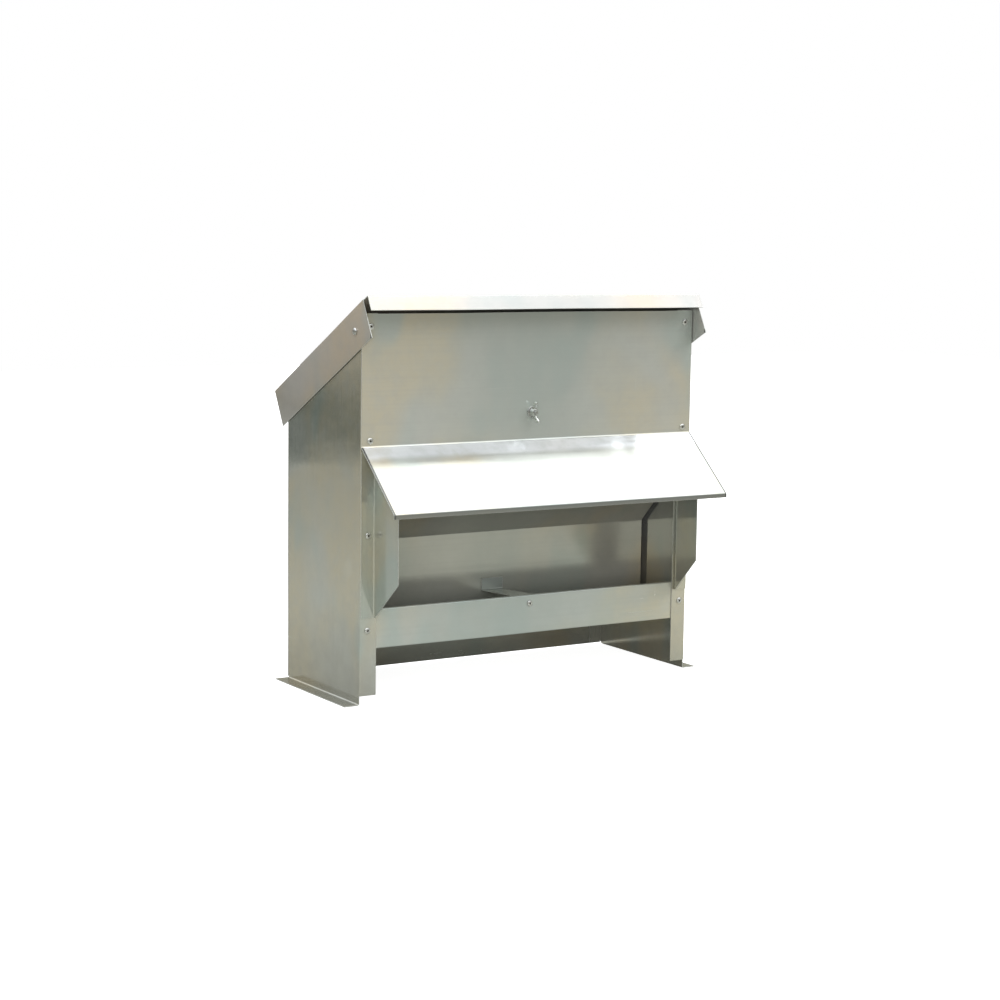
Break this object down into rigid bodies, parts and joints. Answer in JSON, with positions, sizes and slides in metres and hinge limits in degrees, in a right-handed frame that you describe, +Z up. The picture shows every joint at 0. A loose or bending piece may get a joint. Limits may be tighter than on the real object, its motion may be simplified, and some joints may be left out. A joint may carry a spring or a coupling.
{
  "type": "gravity poultry feeder",
  "caption": "Floor-standing sheet-metal gravity feeder for poultry, with a sloping hinged lid, a rain hood over the trough and a feed plate clamped by a wing nut.",
  "frame": {"origin": "on the ground, in the middle of the feeder's bounding box in plan", "axes": "+X to the right as seen from the trough side, +Y to the back, +Z up"},
  "size_m": [0.54, 0.3238, 0.5091],
  "materials": {
    "side_sheet": "galvanised steel sheet, satin, fine vertical grain",
    "front_sheet": "galvanised steel sheet, bright satin, fine horizontal grain, light scratches",
    "back_sheet": "galvanised steel sheet, satin",
    "trough_sheet": "galvanised steel sheet, satin",
    "feed_plate_sheet": "galvanised steel sheet, dull satin with feed dust",
    "guard_sheet": "galvanised steel sheet, bright satin",
    "lid_sheet": "galvanised steel sheet, bright satin",
    "zinc_casting": "zinc plated, satin",
    "zinc_fastener": "zinc plated, satin",
    "rivet_metal": "plain aluminium, satin, with the dark mouth of the broken mandrel"
  },
  "bodies": {
    "frame": {"side_panel_left": "side_sheet", "side_panel_right": "side_sheet", "front_panel": "front_sheet", "back_panel": "back_sheet", "trough_pan": "trough_sheet", "trough_brace": "trough_sheet", "guard_left": "guard_sheet", "guard_right": "guard_sheet", "feed_bolt": "zinc_fastener", "feed_washer_inner": "zinc_fastener", "feed_washer_outer": "zinc_fastener", "pivot_bolt_left": "zinc_fastener", "pivot_washer_left": "zinc_fastener", "pivot_nut_left": "zinc_fastener", "pivot_bolt_right": "zinc_fastener", "pivot_washer_right": "zinc_fastener", "pivot_nut_right": "zinc_fastener", "rivet_brace": "rivet_metal", "rivet_front_upper_left": "rivet_metal", "rivet_front_lower_left": "rivet_metal", "rivet_guard_left": "rivet_metal", "rivet_trough_left": "rivet_metal", "rivet_back_lower_left": "rivet_metal", "rivet_back_middle_left": "rivet_metal", "rivet_back_upper_left": "rivet_metal", "rivet_front_upper_right": "rivet_metal", "rivet_front_lower_right": "rivet_metal", "rivet_guard_right": "rivet_metal", "rivet_trough_right": "rivet_metal", "rivet_back_lower_right": "rivet_metal", "rivet_back_middle_right": "rivet_metal", "rivet_back_upper_right": "rivet_metal"},
    "lid": {"lid": "lid_sheet"},
    "feed_plate": {"feed_plate": "feed_plate_sheet"},
    "wing_nut": {"wing_nut": "zinc_casting"}
  },
  "joints": [
    {"name": "lid_hinge", "type": "hinge", "parent": "frame", "child": "lid", "pos_m": [0, -0.06439, 0.465], "axis": [1, 0, 0], "range_deg": [0, 105]},
    {"name": "feed_plate_slide", "type": "slide", "parent": "frame", "child": "feed_plate", "axis": [0, 0, 1], "range_m": [-0.015, 0.015]},
    {"name": "wing_nut_spin", "type": "hinge", "parent": "frame", "child": "wing_nut", "pos_m": [-0.002, -0.07919, 0.359], "axis": [0, 1, 0], "continuous": true}
  ]
}
